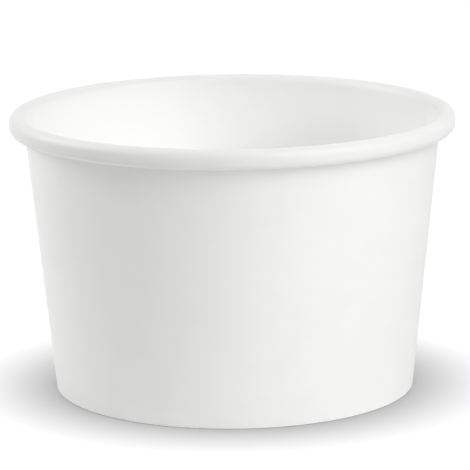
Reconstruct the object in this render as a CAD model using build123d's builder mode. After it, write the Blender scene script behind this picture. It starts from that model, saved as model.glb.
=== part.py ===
from build123d import *
import math
import os

# Paper ice cream cup in millimetres. Its axis is Z, +Z is up, and it stands on Z = 0.
# It is made of two pieces of board, glued to each other at the hem:
#   side_wall  one flat blank, wrapped round into a cone, lapped at a side seam, hemmed below and rolled above
#   base_disc  a round blank pressed into a shallow cap, its skirt pointing down and gripped by the hem

cup_height = 60.0      # table to the top of the rolled rim
rim_diameter = 95.0    # over the outside of the rolled rim
base_diameter = 77.0   # over the outside of the wall, at the table

wall_board = 0.4       # thickness of the side wall's board
base_board = 0.3       # thickness of the base's board
glue_gap = 0.06        # clearance on each side of the base's skirt, where the glue is

bead_width = 3.5       # rolled rim, from the cup's inner face to the outside of the roll
bead_height = 4.2      # rolled rim, top to bottom
tuck_gap = 0.15        # between the wall and the board's raw edge, which turns up inside the roll

hem_height = 7.5       # table to the raw edge of the hem
fold_bevel = 0.3       # flat across each of the two bends under the hem
recess_depth = 8.8     # table to the underside of the base
shoulder_bevel = 0.4   # flat across the bend between the base and its skirt

lap_width = 7.0        # overlap of the side seam, along the foot of the wall
ramp_width = 3.5       # beside the lap, where the blank climbs onto its own first edge
seam_angle = 6.0       # direction of the seam's outer raw edge, from +X towards +Y

# Each round turn of the roll is drawn as this many straight runs, fewer on the inside of the roll.
crown_runs = 6
foot_runs = 4
inside_runs = 3

rim_radius = rim_diameter / 2
base_radius = base_diameter / 2
bead_foot = cup_height - bead_height
bead_middle = cup_height - bead_height / 2
taper = math.atan2(rim_radius - bead_width + wall_board - base_radius, bead_middle)
lean = math.degrees(taper)


def wall_radius(height, depth=0):
    """Radius, at a height, of the cone that lies a depth inside the wall's outer face."""
    return base_radius + height * math.tan(taper) - depth / math.cos(taper)


def turn(centre, radius, start, end, runs):
    """Points on an arc about a centre, from one angle in degrees to another, with equal runs between them."""
    angles = [math.radians(start + (end - start) * step / runs) for step in range(runs + 1)]
    return [(centre[0] + radius * math.cos(angle), centre[1] + radius * math.sin(angle)) for angle in angles]


# Outer faces of the layers that lie on each other at the hem, and of the board's last run, which turns up
# outside the wall, as depths inside the wall's outer face.
skirt_face = wall_board + glue_gap
hem_face = wall_board + glue_gap + base_board + glue_gap + wall_board
tuck_face = -(tuck_gap + wall_board)

# The roll is a crown turn and a foot turn with an upright run between them. Inside the roll the crown turn
# touches the wall, the crown and the upright run, and the foot turn the upright run, the foot and the tuck.
roll_side = rim_radius - wall_board
crown_level = cup_height - wall_board
roll_level = bead_foot + wall_board
crown_width = roll_side - wall_radius(crown_level)
foot_width = roll_side - wall_radius(roll_level, tuck_face)
crown_radius = crown_width / (1 + math.tan(math.pi / 4 - taper / 2))
foot_radius = foot_width / (1 + math.tan(math.pi / 4 + taper / 2))
crown_centre = (roll_side - crown_radius, crown_level - crown_radius)
foot_centre = (roll_side - foot_radius, roll_level + foot_radius)


def wall_line(depth, over_crown, under_foot):
    """Line along the wall's board, a depth inside its outer face, from its raw edge in the hem, round the fold
    and up the wall, to its raw edge in the roll, where the outer face is on the inside. The last two numbers
    are the straight runs in the roll's turns."""
    return Polyline(
        (wall_radius(hem_height, hem_face - depth), hem_height),
        (wall_radius(depth, hem_face - depth), depth),
        (wall_radius(depth, depth), depth),
        *turn(crown_centre, crown_radius + depth, 180 - lean, 0, over_crown),
        *turn(foot_centre, foot_radius + depth, 0, -180 - lean, under_foot),
    )


def base_line(depth):
    """Line along the base's board, a depth inside its upper face, from the axis to the foot of the skirt."""
    plate_level = recess_depth + base_board - depth
    skirt_foot = wall_board + glue_gap
    return Polyline(
        (0, plate_level),
        (wall_radius(plate_level, skirt_face + depth), plate_level),
        (wall_radius(skirt_foot, skirt_face + depth), skirt_foot),
    )


# Side wall: both faces of the board, closed by its two raw edges, are turned about the axis.
with BuildPart() as side_wall:
    with BuildSketch(Plane.XZ) as wall_section:
        with BuildLine():
            outer_face = wall_line(0, inside_runs, inside_runs)
            inner_face = wall_line(wall_board, crown_runs, foot_runs)
            Line(outer_face @ 0, inner_face @ 0)
            Line(outer_face @ 1, inner_face @ 1)
        make_face()
        chamfer(wall_section.vertices().group_by(Axis.Y)[0], fold_bevel)
    revolve(axis=Axis.Z)

    # Side seam: the blank's last edge lies on its first one and ends in a raw edge as thick as the board.
    # In plan the top layer is an arc one board outside the wall, and a ramp leads onto it from the single wall.
    # It is rooted in the middle of the wall's board, and pressed flat where it reaches the fold and the roll.
    lap_angle = math.degrees(lap_width / base_radius)
    ramp_angle = math.degrees(ramp_width / base_radius)
    for level in (wall_board, bead_foot + wall_board):
        root = wall_radius(level, wall_board / 2)
        face = wall_radius(level, -wall_board)
        with BuildSketch(Plane.XY.offset(level).rotated((0, 0, seam_angle))):
            with BuildLine():
                raw_edge = Line((root, 0), (face, 0))
                top_layer = CenterArc((0, 0), face, 0, lap_angle)
                inner_arc = CenterArc((0, 0), root, 0, lap_angle + ramp_angle)
                ramp = Line(top_layer @ 1, inner_arc @ 1)
            make_face()
    loft(ruled=True)
side_wall.part.label = "side_wall"

# Base: a flat disc that bends down into a skirt, which runs parallel to the wall into the fold of the hem.
with BuildPart() as base_disc:
    with BuildSketch(Plane.XZ) as base_section:
        with BuildLine():
            upper_face = base_line(0)
            lower_face = base_line(base_board)
            Line(upper_face @ 0, lower_face @ 0)
            Line(upper_face @ 1, lower_face @ 1)
        make_face()
        chamfer(base_section.vertices().group_by(Axis.Y)[-1].sort_by(Axis.X)[-1], shoulder_bevel)
    revolve(axis=Axis.Z)
base_disc.part.label = "base_disc"

os.makedirs("parts", exist_ok=True)
for piece in (side_wall.part, base_disc.part):
    export_step(piece, f"parts/{piece.label}.step")
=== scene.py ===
import math

import bpy
import numpy as np
from mathutils import Matrix, Vector


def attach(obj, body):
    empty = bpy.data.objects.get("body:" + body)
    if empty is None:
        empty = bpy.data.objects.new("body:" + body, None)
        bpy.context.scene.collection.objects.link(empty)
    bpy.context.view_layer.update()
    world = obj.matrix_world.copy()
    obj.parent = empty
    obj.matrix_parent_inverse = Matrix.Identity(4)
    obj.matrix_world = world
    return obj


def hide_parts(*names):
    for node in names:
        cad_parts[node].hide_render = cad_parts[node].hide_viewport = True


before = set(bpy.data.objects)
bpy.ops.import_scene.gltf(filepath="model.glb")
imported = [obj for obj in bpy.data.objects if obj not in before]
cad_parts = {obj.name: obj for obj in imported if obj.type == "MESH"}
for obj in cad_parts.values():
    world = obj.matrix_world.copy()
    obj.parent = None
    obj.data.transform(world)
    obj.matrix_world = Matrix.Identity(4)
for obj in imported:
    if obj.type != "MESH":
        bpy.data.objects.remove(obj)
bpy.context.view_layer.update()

# A plain white paper ice cream cup: one blank of coated board is wrapped into the side wall, lapped at a
# seam, hemmed below and rolled into the rim, and one round blank is pressed into the base.
# Sizes of the pieces are in millimetres and turn to metres where a mesh is made.
mm = 0.001

cup = {
    "height": 60.0,          # table to the top of the rim
    "rimDiameter": 95.0,     # over the outside of the roll
    "baseDiameter": 77.0,    # over the outside of the wall, at the table
    "rollWidth": 3.5,        # from the cup's inner face to the outside of the roll
    "rollHeight": 4.2,
    "wallBoard": 0.4,        # thickness of the side wall's board
    "baseBoard": 0.3,
    "glueGap": 0.06,         # each side of the base's skirt
}
sharpAngle = 40              # degrees; where two faces turn by more, the edge between them shows
blankSpan = 300.0            # length of the blank that fills the UV square

baseRadius = cup["baseDiameter"] / 2
rimRadius = cup["rimDiameter"] / 2
board = cup["wallBoard"]
rollFoot = cup["height"] - cup["rollHeight"]
taper = math.atan2(
    rimRadius - cup["rollWidth"] + board - baseRadius, cup["height"] - cup["rollHeight"] / 2
)
lean = math.degrees(taper)
inward = np.array([-math.cos(taper), math.sin(taper)])   # radius and height, from the wall into the cup
cupMiddle = Vector((0, 0, cup["height"] / 2 * mm))


# radius of the cone that lies a depth inside the wall's outer face, at a height
def wallRadius(height, depth=0.0):
    return baseRadius + height * math.tan(taper) - depth / math.cos(taper)


# 0 up to low, 1 from high on, and a smooth cubic between them
def ease(value, low, high):
    part = np.clip((value - low) / (high - low), 0.0, 1.0)
    return part * part * (3.0 - 2.0 * part)


# sum of cosine waves round the cup, each given by its number of waves, its height and its phase
def wavesRound(angle, waves):
    return sum(height * np.cos(number * angle + phase) for number, height, phase in waves)


# points at equal angles on an arc about a centre, in degrees, and the unit ray to each
def arcRun(centre, radius, start, end, steps):
    angle = np.radians(np.linspace(start, end, steps + 1))
    ray = np.stack([np.cos(angle), np.sin(angle)], 1)
    return np.array(centre) + radius * ray, ray


# points at given heights on a line that runs parallel to the wall at a depth, each with the same ray
def wallRun(heights, depth, ray):
    heights = np.asarray(heights, float)
    points = np.stack([wallRadius(heights, depth), heights], 1)
    return points, np.tile(ray, (len(heights), 1))


# runs joined end to end, each but the first without the point it shares with the one before
def joinRuns(*runs):
    points = np.concatenate([runs[0][0]] + [run[0][1:] for run in runs[1:]])
    rays = np.concatenate([runs[0][1]] + [run[1][1:] for run in runs[1:]])
    return points, rays


# length along a line of points, from its start
def lengthAlong(points):
    return np.concatenate([[0.0], np.cumsum(np.linalg.norm(np.diff(points, axis=0), axis=1))])


# turns a grid of radii and heights and a row of angles into points in metres
def aroundAxis(radius, height, angle):
    return np.stack([radius * np.cos(angle), radius * np.sin(angle), height + 0 * angle], -1) * mm


# quads of a grid of vertex numbers; their normal is the rows' direction crossed with the columns'
def gridQuads(numbers):
    return np.stack(
        [numbers[:-1, :-1], numbers[1:, :-1], numbers[1:, 1:], numbers[:-1, 1:]], -1
    ).reshape(-1, 4)


# mesh object from vertices in metres and groups of faces, with a UV and the share of rolling for each
# vertex, which places the roll's painted shade, and a material number for each face
def makePiece(name, vertices, faces, flatPlace, rolled, faceMaterial):
    mesh = bpy.data.meshes.new(name)
    mesh.from_pydata(vertices.tolist(), [], [face.tolist() for group in faces for face in group])
    layer = mesh.uv_layers.new(name="blank")
    corners = np.empty(len(mesh.loops), np.int32)
    mesh.loops.foreach_get("vertex_index", corners)
    layer.data.foreach_set("uv", flatPlace[corners].astype(np.float32).ravel())
    mesh.attributes.new("rolled", "FLOAT", "POINT").data.foreach_set("value", rolled.astype(np.float32))
    for material in cupMaterials:
        mesh.materials.append(material)
    mesh.polygons.foreach_set("material_index", faceMaterial.astype(np.int32))
    mesh.polygons.foreach_set("use_smooth", np.ones(len(mesh.polygons), bool))
    mesh.set_sharp_from_angle(angle=math.radians(sharpAngle))
    mesh.update()
    mesh.validate()
    piece = bpy.data.objects.new(name, mesh)
    bpy.context.scene.collection.objects.link(piece)
    return piece


# sRGB hex to linear red, green, blue, alpha
def hexColor(text):
    values = [int(text[i:i + 2], 16) / 255 for i in (1, 3, 5)]
    return [v / 12.92 if v <= 0.04045 else ((v + 0.055) / 1.055) ** 2.4 for v in values] + [1.0]


# adds a node with its settings; each input, by its name or number, gets a value of its own or a link from
# another node's output
def addNode(tree, kind, settings={}, inputs={}):
    node = tree.nodes.new(kind)
    for name, value in settings.items():
        setattr(node, name, value)
    for name, value in inputs.items():
        if isinstance(value, bpy.types.NodeSocket):
            tree.links.new(value, node.inputs[name])
        else:
            node.inputs[name].default_value = value
    return node


# A Mix node's inputs have one name in all its data types, so they go by number.
mixColors = {"data_type": "RGBA"}
colorA, colorB, mixedColor = 6, 7, 2
mixNumbers = {"data_type": "FLOAT"}
numberA, numberB, mixedNumber = 2, 3, 0


# new material whose nodes are still to be added
def emptyMaterial(name):
    material = bpy.data.materials.new(name)
    material.use_nodes = True
    material.node_tree.nodes.clear()
    return material


# 1 for what the camera sees, directly or by a mirror or through glass, and 0 for the light on the cup
def seenDirectly(tree):
    path = addNode(tree, "ShaderNodeLightPath")
    seen = path.outputs["Is Camera Ray"]
    for other in ("Is Glossy Ray", "Is Transmission Ray"):
        either = addNode(tree, "ShaderNodeMath", {"operation": "MAXIMUM"}, {
            0: seen, 1: path.outputs[other],
        })
        seen = either.outputs[0]
    return seen


# Cup board: bleached kraft paperboard, extrusion-coated with polyethylene film on both faces. The film
# lies on the felted fibres and gives an even soft sheen over a faint cloudy white, with no sparkle. The
# inside has the thicker film and a lighter white, which is painted light that brightens the inside of the
# cup; the roll has a slightly darker colour, which is painted shade that keeps the roll, catching more
# light from above, from rendering brighter than the wall.
outsideLook = {
    "white": "#F9F9F8",
    "cloud": "#F6F6F5",        # the slightly denser places of the sheet
    # painted shade: the roll's darker colour keeps the roll, which catches more light from above, no
    # brighter than the wall
    "rolled": "#F0F0EF",
    "cloudSize": 7.0,          # mm, the sheet's cloudy formation
    "fibreSize": 0.45,         # mm; real fibres are 0.03 mm wide, drawn as the coarser felting that shows
    "fibreLength": 2.5,        # how much longer than wide, along the mill's grain
    "fibreRelief": 0.012,      # mm
    "waveSize": 11.0,          # mm, soft unevenness of the film
    "waveRelief": 0.02,        # mm
    "roughness": (0.52, 0.62),
    "ior": 1.4,
    "film": 0.06,
    "filmRoughness": 0.36,
}
# painted light: the inside's lighter white and cloud brighten the inside of the cup; its smoother, thicker
# film is real
insideLook = dict(
    outsideLook, white="#FDFDFC", cloud="#FBFBFA", roughness=(0.42, 0.52), film=0.12, filmRoughness=0.28
)


def coatedBoard(name, look):
    material = emptyMaterial(name)
    tree = material.node_tree
    place = addNode(tree, "ShaderNodeTexCoord").outputs["Object"]
    cloud = addNode(tree, "ShaderNodeTexNoise", inputs={
        "Vector": place, "Scale": 1 / (look["cloudSize"] * mm), "Detail": 3.0, "Roughness": 0.55,
    })
    grain = addNode(tree, "ShaderNodeMapping", inputs={
        "Vector": place, "Scale": (1.0, 1.0, 1 / look["fibreLength"]),
    })
    fibre = addNode(tree, "ShaderNodeTexNoise", inputs={
        "Vector": grain.outputs["Vector"], "Scale": 1 / (look["fibreSize"] * mm),
        "Detail": 2.0, "Roughness": 0.6,
    })
    wave = addNode(tree, "ShaderNodeTexNoise", inputs={
        "Vector": place, "Scale": 1 / (look["waveSize"] * mm), "Detail": 1.0,
    })
    density = addNode(tree, "ShaderNodeMapRange", inputs={
        "Value": cloud.outputs["Fac"], "From Min": 0.2, "From Max": 0.8,
    })
    flat = addNode(tree, "ShaderNodeMix", mixColors, {
        "Factor": density.outputs["Result"],
        colorA: hexColor(look["white"]), colorB: hexColor(look["cloud"]),
    })
    # painted shade on the roll, mixed in by the share of rolling
    rollShade = addNode(tree, "ShaderNodeAttribute", {"attribute_name": "rolled"})
    color = addNode(tree, "ShaderNodeMix", mixColors, {
        "Factor": rollShade.outputs["Fac"],
        colorA: flat.outputs[mixedColor], colorB: hexColor(look["rolled"]),
    })
    smooth, rough = look["roughness"]
    roughness = addNode(tree, "ShaderNodeMapRange", inputs={
        "Value": fibre.outputs["Fac"], "From Min": 0.3, "From Max": 0.7, "To Min": smooth, "To Max": rough,
    })
    waveBump = addNode(tree, "ShaderNodeBump", inputs={
        "Height": wave.outputs["Fac"], "Strength": 1.0, "Distance": look["waveRelief"] * mm,
    })
    fibreBump = addNode(tree, "ShaderNodeBump", inputs={
        "Height": fibre.outputs["Fac"], "Strength": 1.0, "Distance": look["fibreRelief"] * mm,
        "Normal": waveBump.outputs["Normal"],
    })
    shader = addNode(tree, "ShaderNodeBsdfPrincipled", inputs={
        "Base Color": color.outputs[mixedColor], "Roughness": roughness.outputs["Result"],
        "IOR": look["ior"], "Coat Weight": look["film"], "Coat IOR": 1.5,
        "Coat Roughness": look["filmRoughness"], "Normal": fibreBump.outputs["Normal"],
    })
    addNode(tree, "ShaderNodeOutputMaterial", inputs={"Surface": shader.outputs["BSDF"]})
    return material


# Cut edge: the bare core of the same board, sheared by the blanking die. It is matt, a little warmer
# than the coated faces, and its pressed fibres show as fine layers along the edge.
edgeLook = {
    "core": "#F0EEE9",
    "layer": "#E4E1DA",
    "layerSize": 0.12,         # mm, drawn coarser than the real 0.02 mm layers so that they show
    "relief": 0.02,            # mm
    "roughness": 0.9,
}


def cutEdge(name, look):
    material = emptyMaterial(name)
    tree = material.node_tree
    place = addNode(tree, "ShaderNodeTexCoord").outputs["Object"]
    layers = addNode(tree, "ShaderNodeTexNoise", inputs={
        "Vector": place, "Scale": 1 / (look["layerSize"] * mm), "Detail": 3.0, "Roughness": 0.6,
    })
    share = addNode(tree, "ShaderNodeMapRange", inputs={
        "Value": layers.outputs["Fac"], "From Min": 0.35, "From Max": 0.7,
    })
    color = addNode(tree, "ShaderNodeMix", mixColors, {
        "Factor": share.outputs["Result"],
        colorA: hexColor(look["core"]), colorB: hexColor(look["layer"]),
    })
    bump = addNode(tree, "ShaderNodeBump", inputs={
        "Height": layers.outputs["Fac"], "Strength": 1.0, "Distance": look["relief"] * mm,
    })
    shader = addNode(tree, "ShaderNodeBsdfPrincipled", inputs={
        "Base Color": color.outputs[mixedColor], "Roughness": look["roughness"], "IOR": 1.45,
        "Normal": bump.outputs["Normal"],
    })
    addNode(tree, "ShaderNodeOutputMaterial", inputs={"Surface": shader.outputs["BSDF"]})
    return material


# every piece carries all three, and its faces say by number which one they wear
cupMaterials = [
    coatedBoard("coated_board_outside", outsideLook),
    coatedBoard("coated_board_inside", insideLook),
    cutEdge("cut_board_edge", edgeLook),
]
outsideFace, insideFace, bareEdge = 0, 1, 2
print("materials made")

sideWall = {
    "hemHeight": 7.5,             # table to the raw edge of the hem
    "foldSquareness": 5.0,        # 2 would leave the fold under the hem round
    "tuckGap": 0.15,              # wall to the raw edge inside the roll
    "lapWidth": 7.0,              # overlap at the seam, along the foot
    "rampWidth": 3.5,             # where the blank climbs onto its own first edge
    "seamAngle": 6.0,             # degrees from +X towards +Y to the seam's outer raw edge
    "layerGap": 0.01,             # between the lap's two layers
    "looseFrom": (1.0, 8.0),      # heights between which the lap comes free of the pressed hem
    "looseTo": 52.0,              # height from which it is pressed again, fully at the roll's foot
    "pressedRamp": 0.01,          # share of the ramp's width that is left where the lap is pressed
    "rampStep": 0.05,             # degrees in which the board climbs there
    "firstEdge": 3.0,             # degrees beside the lap in which its pressed first layer thickens again
    "seamRise": 0.07,             # how much the doubled board lifts the inside of the roll
    "hemSwell": 0.045,            # the hem's layers push the wall out by this much,
    "hemSwellFoot": (0.5, 3.0),   # beginning between these heights
    "hemSwellTop": (8.2, 9.6),    # and ending between these
    "innerSwell": 0.6,            # share of it on the wall's inner face
    "ribs": 132,                  # knurled ribs pressed into the hem from inside
    "ribColumns": 6,              # columns of the mesh for each
    "ribDepth": 0.14,
    "ribSharpness": 1.5,          # above 1, the ribs are narrower than the ground between them
    "ribFoot": (1.4, 1.7),        # heights between which the ribs begin
    "ribMiddle": 4.0,
    "ribTop": (6.6, 6.9),         # heights between which they end
    "settle": 0.05,               # how far the wrapped wall is from truly round,
    "settleHeights": (2.0, 40.0),  # growing between these heights,
    "settleWaves": [(2, 1.0, 0.6), (3, 0.5, 2.1), (5, 0.3, 0.9)],   # number, height and phase of each wave
}


# The board's outer face as a line from the hem's raw edge, round the fold and up the wall, to the raw edge
# inside the roll, with the unit ray through the board's thickness at each point. Hem and wall are straight
# and parallel, the fold is a half circle pressed nearly square, its radius divided by the squareness norm
# of its ray, and the roll is two arcs and an upright that touch each other. It also gives the number of
# rows up to the end of the hem, of the fold and of the wall.
def wallProfile():
    hemDepth = 2 * board + cup["baseBoard"] + 2 * cup["glueGap"]
    fold = hemDepth / 2
    foldCentre = (wallRadius(fold, fold), fold)
    hemEnd = fold * (1 + math.sin(taper))
    wallStart = fold * (1 - math.sin(taper))
    (ribStart, ribFull), (ribFading, ribEnd) = sideWall["ribFoot"], sideWall["ribTop"]
    hem = wallRun(
        [sideWall["hemHeight"], ribEnd, ribFading, sideWall["ribMiddle"], ribFull, ribStart, hemEnd],
        hemDepth, -inward,
    )
    # rays stand closest at the fold's two corners
    bend = np.radians([180 - lean, 207, 221, 235, 270, 305, 319, 333, 360 - lean])
    ray = np.stack([np.cos(bend), np.sin(bend)], 1)
    power = sideWall["foldSquareness"]
    points = foldCentre + ray * fold / (np.abs(ray) ** power).sum(1, keepdims=True) ** (1 / power)

    rollSide = rimRadius - board
    crownLevel = cup["height"] - board
    footLevel = rollFoot + board
    tuckFace = wallRadius(footLevel, -(sideWall["tuckGap"] + board))
    crown = (rollSide - wallRadius(crownLevel)) / (1 + math.tan(math.pi / 4 - taper / 2))
    foot = (rollSide - tuckFace) / (1 + math.tan(math.pi / 4 + taper / 2))
    crownCentre = (rollSide - crown, crownLevel - crown)
    footCentre = (rollSide - foot, footLevel + foot)
    upright = (
        np.array([[rollSide, crownCentre[1]], [rollSide, footCentre[1]]]), np.array([[1.0, 0], [1.0, 0]])
    )

    # rows stand closest where the swelling over the hem ends and just below the roll
    swellLow, swellHigh = sideWall["hemSwellTop"]
    wallEnd = crownCentre[1] + crown * math.sin(taper)
    heights = np.concatenate([
        np.linspace(wallStart, swellLow - 0.6, 3), np.linspace(swellLow - 0.3, swellHigh + 0.3, 7),
        np.linspace(14.0, rollFoot - 2.5, 4), np.linspace(rollFoot - 1.2, wallEnd, 4),
    ])
    profile = joinRuns(
        hem, (points, -ray), wallRun(heights, 0.0, inward),
        arcRun(crownCentre, crown, 180 - lean, 0, 12), upright,
        arcRun(footCentre, foot, 0, -180 - lean, 11),
    )
    hemRows = len(hem[0])
    foldRows = hemRows + len(bend) - 1
    return profile, (hemRows, foldRows, foldRows + len(heights) - 1)


# The sheet is a grid, the profile carried round the axis by the sheet's own angle, which runs on past a
# full turn by the lap. Each face lies at a depth along the profile's ray: 0 and the board's thickness where
# the board is single; on the wall the last edge climbs by one thickness onto the first; in fold, hem and
# roll the two layers are pressed to half the thickness each.
def makeSideWall():
    (line, ray), (hemRows, foldRows, wallRows) = wallProfile()
    lap = math.degrees(sideWall["lapWidth"] / baseRadius)
    ramp = math.degrees(sideWall["rampWidth"] / baseRadius)
    singleStart = lap + sideWall["firstEdge"]
    singleEnd = 360 - ramp
    run = np.concatenate([
        np.linspace(0, lap, 23)[:-1], np.linspace(lap, singleStart, 7)[:-1],
        np.linspace(singleStart, singleEnd, sideWall["ribColumns"] * sideWall["ribs"] + 1)[:-1],
        np.linspace(singleEnd, 360 - sideWall["rampStep"], 13), np.linspace(360, 360 + lap, 23),
    ])[None, :]
    angle = np.radians(sideWall["seamAngle"] + lap - run)
    row = np.arange(len(line))[:, None]
    height = line[:, 1:2]
    onWall = (row >= foldRows) & (row < wallRows)
    free = ease(height, *sideWall["looseFrom"]) * (1 - ease(height, sideWall["looseTo"], rollFoot))
    loose = np.where(onWall, free, 0.0)
    inRoll = ease(row, wallRows - 3, wallRows + 2)
    first = 1 - ease(run, lap, singleStart)
    climb = sideWall["pressedRamp"] + (1 - sideWall["pressedRamp"]) * loose
    last = ease(run, 360 - ramp * climb, 360)
    half = board * (1 - loose) / 2
    outer = first * half - last * board * loose
    inner = board - last * (board - half + sideWall["layerGap"]) + first * inRoll * sideWall["seamRise"]

    # the hem's layers swell the wall, ribs are pressed into the hem, and the wall isn't quite round
    rising = ease(height, *sideWall["hemSwellFoot"])
    swell = sideWall["hemSwell"] * (1 - ease(height, *sideWall["hemSwellTop"])) * rising
    swell = np.where(onWall, swell, 0.0)
    outer = outer - swell
    inner = inner - swell * sideWall["innerSwell"]
    rib = 0.5 + 0.5 * np.cos(np.radians(run * 360 * sideWall["ribs"] / (singleEnd - singleStart)))
    ribbed = ease(height, *sideWall["ribFoot"]) * (1 - ease(height, *sideWall["ribTop"]))
    ribbed = np.where((row < hemRows) & (run > lap), ribbed, 0.0)
    outer = outer + sideWall["ribDepth"] * rib ** sideWall["ribSharpness"] * ribbed
    drift = sideWall["settle"] * ease(height, *sideWall["settleHeights"])
    drift = drift * wavesRound(angle, sideWall["settleWaves"])

    # the two faces are closed by the raw edges in hem and roll and by the blank's two ends
    vertices = []
    for depth in (outer, inner):
        radius = line[:, 0:1] + ray[:, 0:1] * depth + drift
        vertices.append(aroundAxis(radius, height + ray[:, 1:2] * depth, angle).reshape(-1, 3))
    rows, columns = outer.shape
    outside = np.arange(rows * columns).reshape(rows, columns)
    inside = outside + rows * columns
    faces = [
        gridQuads(outside),
        gridQuads(inside)[:, ::-1],
        gridQuads(np.stack([inside[0], outside[0]])),
        gridQuads(np.stack([outside[-1], inside[-1]])),
        gridQuads(np.stack([inside[:, 0], outside[:, 0]], 1)),
        gridQuads(np.stack([outside[:, -1], inside[:, -1]], 1)),
    ]
    kinds = np.repeat([outsideFace, insideFace] + [bareEdge] * 4, [len(group) for group in faces])
    along = lengthAlong(line)[:, None] + 0 * run
    around = np.radians(run) * (baseRadius + rimRadius) / 2 + 0 * along
    flat = np.stack([around, along], -1).reshape(-1, 2) / blankSpan
    # share of rolling, which places the painted shade on the roll
    rolled = (inRoll + 0 * run).ravel()
    piece = makePiece(
        "paper_side_wall", np.concatenate(vertices), faces, np.tile(flat, (2, 1)), np.tile(rolled, 2), kinds
    )
    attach(piece, "root")
    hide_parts("side_wall")
    print("side wall made:", rows, "rows,", columns, "columns")


baseDisc = {
    "recess": 8.8,                # table to the underside of the base
    "shoulder": 0.4,              # outside radius of the bend into the skirt
    "pressed": 0.06,              # how far the heated skirt is pressed out against the wall
    "skirtFoot": 0.56,            # height of the skirt's raw edge inside the fold
    "crowning": 0.15,             # the drawn disc stays a little high in its middle
    "puckers": 0.025,             # ripple left where the flat blank was drawn into a skirt
    "puckerReach": 2.6,           # from the bend inwards
    "puckerHeights": (6.5, 8.5),  # between which it grows up the skirt
    "puckerWaves": [(61, 1.0, 0.0), (83, 0.7, 1.3), (47, 0.5, 2.2)],
    "columns": 480,
}


# The blank's upper face as a line from the axis outwards, over the shoulder's arc and down the skirt, which
# runs parallel to the wall, with the ray through the board's thickness at each point. It also gives the
# radius at which the disc begins to bend.
def baseProfile():
    plate = cup["baseBoard"] + baseDisc["recess"]
    bend = baseDisc["shoulder"]
    face = board + cup["glueGap"] - baseDisc["pressed"]
    reach = wallRadius(plate - bend, face + bend)
    shares = np.array([0.04, 0.15, 0.35, 0.55, 0.75, 0.87, 0.93, 0.96, 0.98, 1.0])   # closest at the bend
    radii = np.concatenate([[0.0], reach * shares])
    flat = np.stack([radii, np.full(len(radii), plate)], 1), np.tile([0.0, -1.0], (len(radii), 1))
    points, ray = arcRun((reach, plate - bend), bend, 90, -lean, 7)
    skirt = wallRun(np.linspace(points[-1][1], baseDisc["skirtFoot"], 6), face, inward)
    return joinRuns(flat, (points, -ray), skirt), reach


# The line is carried round the axis for the upper face and again one thickness below it for the lower one;
# the two meet at the skirt's raw edge and each closes on the axis in one point. The crown falls from the
# axis to the bend as a squared cosine.
def makeBaseDisc():
    (line, ray), reach = baseProfile()
    radius, height = line[:, 0:1], line[:, 1:2]
    angle = np.linspace(0, 2 * np.pi, baseDisc["columns"] + 1)[None, :-1]
    crest = baseDisc["crowning"] * np.cos(np.clip(radius / reach, 0, 1) * np.pi / 2) ** 2
    crest = crest * np.where(ray[:, 0:1] == 0, 1.0, 0.0)
    waves = baseDisc["puckerWaves"]
    ripple = wavesRound(angle, waves) / sum(wave[1] for wave in waves)
    nearBend = ease(radius, reach - baseDisc["puckerReach"], reach)
    nearBend = nearBend * ease(height, *baseDisc["puckerHeights"])
    sink = baseDisc["puckers"] * nearBend * (0.5 + 0.5 * ripple)
    grids = []
    for depth in (0.0, cup["baseBoard"]):
        way = depth + sink
        grids.append(aroundAxis(radius + ray[:, 0:1] * way, height + ray[:, 1:2] * way + crest, angle))
    upper, lower = grids
    loop = np.concatenate([upper[1:], lower[:0:-1]])
    rows, columns = loop.shape[:2]
    numbers = np.arange(rows * columns).reshape(rows, columns)
    wrapped = np.concatenate([numbers, numbers[:, :1]], 1)
    topPole, bottomPole = rows * columns, rows * columns + 1
    skin = gridQuads(wrapped)
    topFan = np.stack([np.full(columns, topPole), wrapped[0, :-1], wrapped[0, 1:]], 1)
    bottomFan = np.stack([np.full(columns, bottomPole), wrapped[-1, 1:], wrapped[-1, :-1]], 1)
    vertices = np.concatenate([loop.reshape(-1, 3), upper[0, :1], lower[0, :1]])
    kinds = np.full((rows - 1, columns), insideFace)
    kinds[len(line) - 2] = bareEdge
    kinds[len(line) - 1:] = outsideFace
    kinds = np.concatenate([kinds.ravel(), np.repeat([insideFace, outsideFace], columns)])
    piece = makePiece(
        "paper_base", vertices, [skin, topFan, bottomFan], vertices[:, :2] / (blankSpan * mm),
        np.zeros(len(vertices)), kinds,
    )
    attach(piece, "root")
    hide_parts("base_disc")
    print("base made:", rows, "rows,", columns, "columns")


makeSideWall()
makeBaseDisc()

# A smooth white table. The cup is lit by a plain pale one; the camera sees it lifted to white, darkened by
# a painted contact shadow where the cup stands close by and by the cup's shadow where it keeps the lamps
# off.
floorLook = {
    "size": 6.0,               # m
    "color": "#F0F0F0",        # as it lights the cup
    "seenColor": "#505050",    # what the lamps give it for the camera
    "lift": 0.97,              # what is added to that, all of it in the open
    "reach": 21.0,             # mm from the cup to where the added part is whole
    "contact": 1.1,            # above 1, the added part fades faster beside the foot
}


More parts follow.
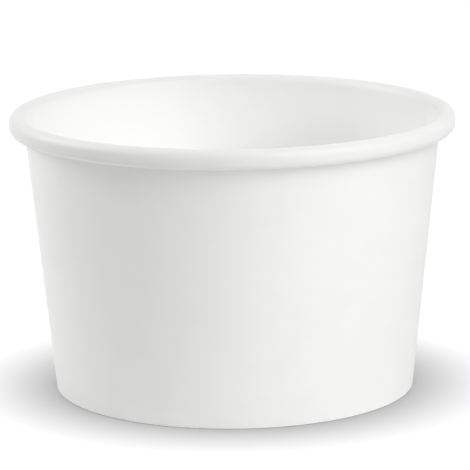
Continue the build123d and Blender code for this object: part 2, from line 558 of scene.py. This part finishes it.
def makeFloor():
    half = floorLook["size"] / 2
    corners = [(-half, -half, 0), (half, -half, 0), (half, half, 0), (-half, half, 0)]
    mesh = bpy.data.meshes.new("table_top")
    mesh.from_pydata(corners, [], [(0, 1, 2, 3)])
    floor = bpy.data.objects.new("table_top", mesh)
    bpy.context.scene.collection.objects.link(floor)
    material = emptyMaterial("white_table")
    mesh.materials.append(material)
    tree = material.node_tree
    seen = seenDirectly(tree)
    # painted contact shadow: the lift is darkened by ambient occlusion where the cup is near
    openness = addNode(tree, "ShaderNodeAmbientOcclusion", {"samples": 24}, {
        "Distance": floorLook["reach"] * mm,
    })
    fading = addNode(tree, "ShaderNodeMath", {"operation": "POWER"}, {
        0: openness.outputs["AO"], 1: floorLook["contact"],
    })
    lift = addNode(tree, "ShaderNodeMath", {"operation": "MULTIPLY"}, {
        0: fading.outputs[0], 1: floorLook["lift"],
    })
    seenLift = addNode(tree, "ShaderNodeMath", {"operation": "MULTIPLY"}, {0: lift.outputs[0], 1: seen})
    glow = addNode(tree, "ShaderNodeEmission", inputs={"Strength": seenLift.outputs[0]})
    color = addNode(tree, "ShaderNodeMix", mixColors, {
        "Factor": seen, colorA: hexColor(floorLook["color"]), colorB: hexColor(floorLook["seenColor"]),
    })
    paint = addNode(tree, "ShaderNodeBsdfDiffuse", inputs={"Color": color.outputs[mixedColor]})
    both = addNode(tree, "ShaderNodeAddShader", inputs={0: glow.outputs[0], 1: paint.outputs[0]})
    addNode(tree, "ShaderNodeOutputMaterial", inputs={"Surface": both.outputs[0]})


makeFloor()
print("table made")

# Azimuth is seen from the camera, positive to its right, elevation above the table, both in degrees;
# distance and size in metres; strength 1 lights a face turned to the lamp as brightly as white.
lamps = {
    "key": {"azimuth": 45, "elevation": 30, "distance": 0.9, "size": 0.6, "strength": 0.595},
    "overhead": {"azimuth": 30, "elevation": 65, "distance": 0.9, "size": 0.6, "strength": 0.26},
    "left": {"azimuth": -105, "elevation": 30, "distance": 0.9, "size": 0.6, "strength": 0.6},
    "back": {"azimuth": 150, "elevation": 45, "distance": 0.9, "size": 0.6, "strength": 0.14},
}
roomLight = 0.09   # even light from all round, where 1 is white


def makeLamps():
    for name, look in lamps.items():
        azimuth, elevation = math.radians(look["azimuth"]), math.radians(look["elevation"])
        away = Vector((
            math.cos(elevation) * math.sin(azimuth),
            -math.cos(elevation) * math.cos(azimuth),
            math.sin(elevation),
        ))
        light = bpy.data.lights.new(name, "AREA")
        light.shape = "SQUARE"
        light.size = look["size"]
        light.energy = look["strength"] * math.pi ** 2 * look["distance"] ** 2
        lamp = bpy.data.objects.new(name, light)
        lamp.location = cupMiddle + away * look["distance"]
        lamp.rotation_euler = away.to_track_quat("Z", "Y").to_euler()
        bpy.context.scene.collection.objects.link(lamp)


def makeWorld():
    world = bpy.data.worlds.new("white_room")
    world.use_nodes = True
    tree = world.node_tree
    tree.nodes.clear()
    strength = addNode(tree, "ShaderNodeMix", mixNumbers, {
        "Factor": seenDirectly(tree), numberA: roomLight, numberB: 1.0,
    })
    sky = addNode(tree, "ShaderNodeBackground", inputs={
        "Color": (1, 1, 1, 1), "Strength": strength.outputs[mixedNumber],
    })
    addNode(tree, "ShaderNodeOutputWorld", inputs={"Surface": sky.outputs[0]})
    bpy.context.scene.world = world


makeLamps()
makeWorld()
print("lights made")

# Fitted to the photograph's edges: it looks from 12.5 degrees above the table to just above the cup's
# middle, and is turned a little, so that the cup's right side stands lower in the picture.
view = {
    "distance": 0.7,             # m, from the cup's middle
    "elevation": 12.478,         # degrees
    "roll": 0.642,               # degrees
    "aim": (0.35, 0.0, 32.55),   # mm
    "lens": 248.92,              # mm, on a sensor 36 mm wide
}


def makeCamera():
    elevation = math.radians(view["elevation"])
    place = cupMiddle + view["distance"] * Vector((0, -math.cos(elevation), math.sin(elevation)))
    back = (place - Vector(view["aim"]) * mm).normalized()
    right = Vector((0, 0, 1)).cross(back).normalized()
    up = back.cross(right)
    turn = Matrix((right, up, back)).transposed() @ Matrix.Rotation(math.radians(-view["roll"]), 3, "Z")
    data = bpy.data.cameras.new("photo_camera")
    data.sensor_fit = "HORIZONTAL"
    data.sensor_width = 36.0
    data.lens = view["lens"]
    data.clip_start = 0.01
    camera = bpy.data.objects.new("photo_camera", data)
    camera.matrix_world = Matrix.Translation(place) @ turn.to_4x4()
    bpy.context.scene.collection.objects.link(camera)
    bpy.context.scene.camera = camera


makeCamera()
bpy.context.scene.view_settings.view_transform = "Standard"
print("camera made")
